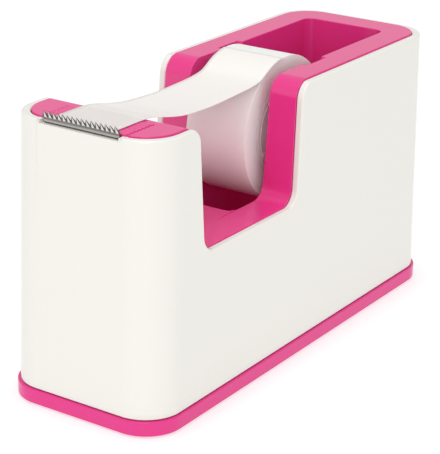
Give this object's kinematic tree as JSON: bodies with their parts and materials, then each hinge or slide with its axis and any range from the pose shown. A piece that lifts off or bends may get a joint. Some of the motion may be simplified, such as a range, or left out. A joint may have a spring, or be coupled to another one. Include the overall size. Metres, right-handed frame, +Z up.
{
  "type": "tape dispenser",
  "caption": "Weighted desk tape dispenser: a tall rounded housing with side notches, a serrated steel blade and a lift-out hub carrying a roll of tape.",
  "frame": {"origin": "middle of the underside of the non-slip pad, on the surface it stands on", "axes": "+Z up, +Y from the cutting blade towards the rear, +X across the width"},
  "size_m": [0.0496, 0.1424, 0.0794],
  "materials": {
    "pink_base": "satin",
    "pink_liner": "satin",
    "pink_pad": "satin, ribbed",
    "white_shell": "high gloss",
    "pad_rubber": "matte",
    "screw_zinc": "zinc plated",
    "blade_steel": "rolled, ground teeth",
    "pin_steel": "drawn",
    "ballast_iron": "as cast",
    "hub_grey": "fine texture",
    "core_white": "satin",
    "tape_matte": "frosted film"
  },
  "bodies": {
    "housing": {"base_plate": "pink_base", "non_slip_pad": "pad_rubber", "base_screw_front_left": "screw_zinc", "base_screw_front_right": "screw_zinc", "base_screw_rear_left": "screw_zinc", "base_screw_rear_right": "screw_zinc", "outer_shell": "white_shell", "inner_liner": "pink_liner", "landing_pad": "pink_pad", "cutting_blade": "blade_steel", "ballast_front": "ballast_iron", "ballast_middle": "ballast_iron", "ballast_base": "ballast_iron"},
    "hub_carriage": {"axle_pin": "pin_steel", "guide_shoe_left": "hub_grey", "guide_shoe_right": "hub_grey", "tape_tail": "tape_matte"},
    "tape_roll": {"hub_left": "hub_grey", "hub_right": "hub_grey", "tape_core": "core_white", "tape_winding": "tape_matte"}
  },
  "joints": [
    {"name": "hub_lift", "type": "slide", "parent": "housing", "child": "hub_carriage", "axis": [0, 0.3828, 0.9238], "range_m": [0, 0.03]},
    {"name": "roll_spin", "type": "hinge", "parent": "hub_carriage", "child": "tape_roll", "pos_m": [0, 0.01, 0.0592], "axis": [1, 0, 0], "continuous": true}
  ]
}
